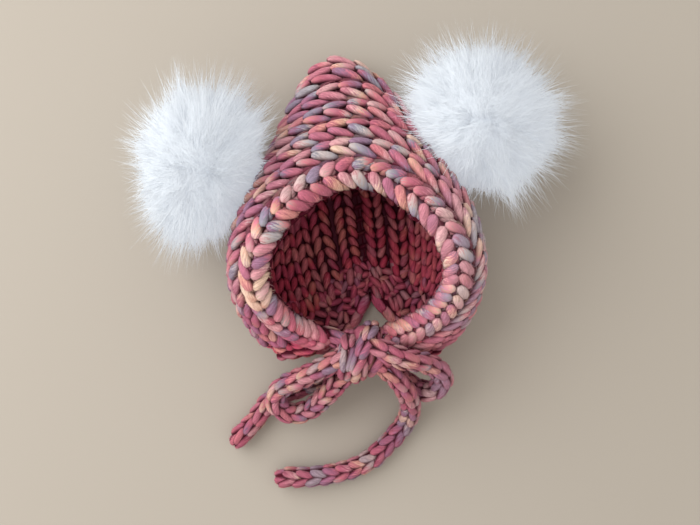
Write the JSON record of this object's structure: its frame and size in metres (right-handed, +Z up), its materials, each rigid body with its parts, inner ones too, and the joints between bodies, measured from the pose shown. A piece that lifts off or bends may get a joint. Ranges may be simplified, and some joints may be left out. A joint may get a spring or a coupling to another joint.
{
  "type": "knitted bonnet",
  "caption": "Baby's pixie bonnet knitted in thick variegated pink yarn, with a braided face edge, ties in a bow and white fur pompoms, lying on its back.",
  "frame": {"origin": "on the flat of the hood's back, where it rests on the table", "axes": "+Z up, out of the face opening; +Y to the peak; +X to the right of the face opening as seen from above"},
  "size_m": [0.2698, 0.2899, 0.0967],
  "materials": {
    "hood_yarn": "thick wool yarn knitted in ribs, variegated rose, coral, mauve and grey",
    "neck_yarn": "thick wool yarn in a close bumpy edge",
    "band_yarn": "thick wool yarn braided round the face, variegated rose, peach and grey",
    "tie_yarn": "thick wool yarn knitted as a round cord",
    "fur": "long soft white fur"
  },
  "bodies": {
    "root": {"hood": "hood_yarn", "neck_band": "neck_yarn", "face_band": "band_yarn", "bow_knot": "tie_yarn", "loop_left": "tie_yarn", "loop_right": "tie_yarn", "tail_left": "tie_yarn", "tail_right": "tie_yarn", "pompom_left": "fur", "pompom_right": "fur"}
  },
  "joints": []
}
